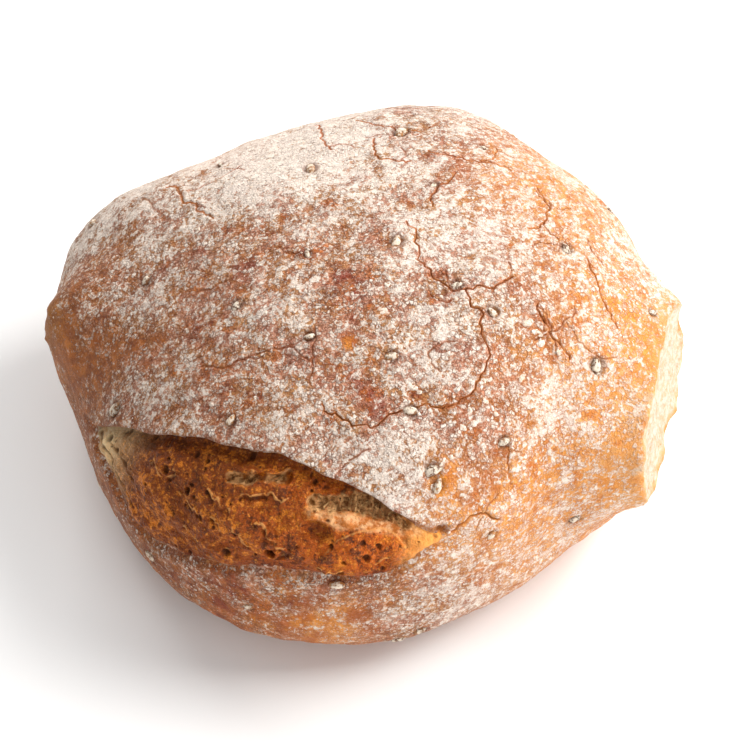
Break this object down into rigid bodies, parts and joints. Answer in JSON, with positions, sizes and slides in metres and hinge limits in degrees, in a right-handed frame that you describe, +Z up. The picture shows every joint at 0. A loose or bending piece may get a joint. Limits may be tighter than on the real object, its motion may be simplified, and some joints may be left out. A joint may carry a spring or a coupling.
{
  "type": "farmhouse loaf",
  "caption": "Round, domed farmhouse loaf with a torn, burst seam along its front, fine crust cracks, baked-in grains and pale torn faces where it touched other loaves.",
  "frame": {"origin": "middle of the bounding box in X and Y, on the plane of the flat base", "axes": "+X along the long way, from the small torn face to the large one; +Y from the burst seam to the back; +Z up from the base"},
  "size_m": [0.2188, 0.2002, 0.112],
  "materials": {
    "crust": "matt baked crust, dusted with flour"
  },
  "bodies": {
    "root": {"loaf": "crust"}
  },
  "joints": []
}
